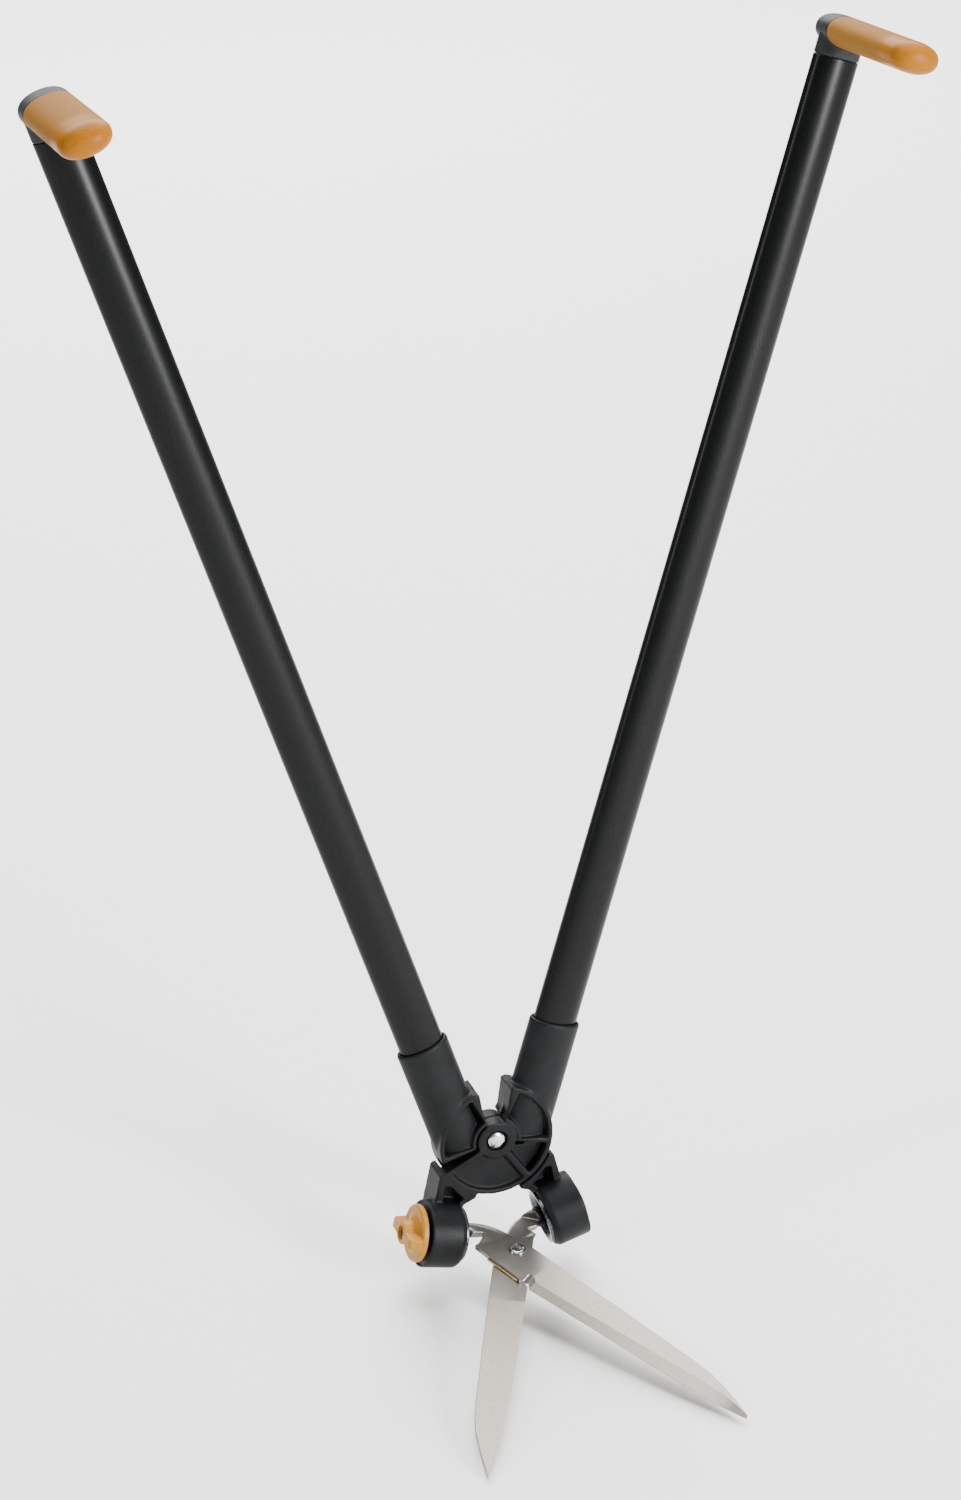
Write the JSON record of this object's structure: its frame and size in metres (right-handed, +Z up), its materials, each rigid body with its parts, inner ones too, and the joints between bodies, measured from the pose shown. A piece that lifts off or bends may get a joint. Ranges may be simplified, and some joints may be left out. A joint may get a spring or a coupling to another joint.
{
  "type": "long-handled grass shears",
  "caption": "Long-handled shears with crossed levers, oval tube handles, forward grips, swivelling blades and a wing knob that locks their tilt.",
  "frame": {"origin": "centre of the pivot nut's flat back, on the main pivot's axis", "axes": "+Z up between the handles, which lean 17.5 degrees to each side; +Y is the main pivot's axis, out of the back of the head; the grips and the blades point to -Y; +X is to the right, seen from the blades' side"},
  "size_m": [0.516, 0.2461, 0.8103],
  "materials": {
    "nylon": "black glass-filled nylon, fine moulded texture",
    "tube": "black anodised, satin",
    "cap": "dark grey matt plastic",
    "grip": "orange tan soft-touch grip, matt",
    "knob": "orange moulded plastic",
    "steel": "bright zinc-plated steel",
    "blade": "ground hardened steel",
    "bronze": "plain bronze bearing strip"
  },
  "bodies": {
    "front_lever": {"front_lever": "nylon", "right_tube": "tube", "right_grip_cap": "cap", "right_grip_sleeve": "grip", "right_tube_pin": "steel", "left_retaining_ring": "steel", "pivot_bolt": "steel", "pivot_nut": "steel", "knob_washer": "steel"},
    "rear_lever": {"rear_lever": "nylon", "left_tube": "tube", "left_grip_cap": "cap", "left_grip_sleeve": "grip", "left_tube_pin": "steel", "right_retaining_ring": "steel", "right_pod_cap": "nylon"},
    "wing_knob": {"wing_knob": "knob", "clamp_screw": "steel"},
    "left_swivel_ring": {"left_swivel_ring": "steel"},
    "left_swivel_cup": {"left_swivel_cup": "nylon"},
    "front_blade": {"front_blade": "blade", "glide_strip": "bronze", "blade_bolt": "steel", "left_ball": "nylon"},
    "rear_blade": {"rear_blade": "blade", "blade_nut": "steel", "right_ball": "nylon"},
    "right_swivel_ring": {"right_swivel_ring": "steel"},
    "right_swivel_cup": {"right_swivel_cup": "nylon"}
  },
  "joints": [
    {"name": "handles", "type": "hinge", "parent": "front_lever", "child": "rear_lever", "pos_m": [0, 0, 0], "axis": [0, 1, 0], "range_deg": [-10, 28]},
    {"name": "left_yaw", "type": "hinge", "parent": "front_lever", "child": "left_swivel_ring", "pos_m": [-0.0365, -0.0234, -0.06148], "axis": [0, 1, 0], "range_deg": [-5, 14]},
    {"name": "blade_tilt", "type": "hinge", "parent": "left_swivel_ring", "child": "left_swivel_cup", "pos_m": [-0.0365, -0.0234, -0.06148], "axis": [-1, 0, 0], "range_deg": [-80, 9.5]},
    {"name": "front_blade_swing", "type": "hinge", "parent": "left_swivel_cup", "child": "front_blade", "pos_m": [-0.0365, -0.0234, -0.06148], "axis": [0, 0.165, -0.9863], "range_deg": [-8.5, 23.8]},
    {"name": "rear_blade_swing", "type": "hinge", "parent": "front_blade", "child": "rear_blade", "pos_m": [0, -0.05595, -0.06693], "axis": [0, -0.165, 0.9863], "range_deg": [-17, 47.6]},
    {"name": "right_yaw", "type": "hinge", "parent": "rear_lever", "child": "right_swivel_ring", "pos_m": [0.0365, -0.0234, -0.06148], "axis": [0, 1, 0], "range_deg": [-14, 5]},
    {"name": "right_tilt", "type": "hinge", "parent": "right_swivel_ring", "child": "right_swivel_cup", "pos_m": [0.0365, -0.0234, -0.06148], "axis": [-1, 0, 0], "range_deg": [-80, 9.5]},
    {"name": "knob_turn", "type": "hinge", "parent": "front_lever", "child": "wing_knob", "pos_m": [-0.0365, -0.0234, -0.06148], "axis": [-0.9703, 0, 0.2419], "range_deg": [0, 180]}
  ],
  "couplings": [
    {"joint": "left_yaw", "follows": "handles", "ratio": 0.5},
    {"joint": "front_blade_swing", "follows": "handles", "ratio": 0.85},
    {"joint": "rear_blade_swing", "follows": "handles", "ratio": 1.7},
    {"joint": "right_yaw", "follows": "handles", "ratio": -0.5},
    {"joint": "right_tilt", "follows": "blade_tilt", "ratio": 1}
  ]
}
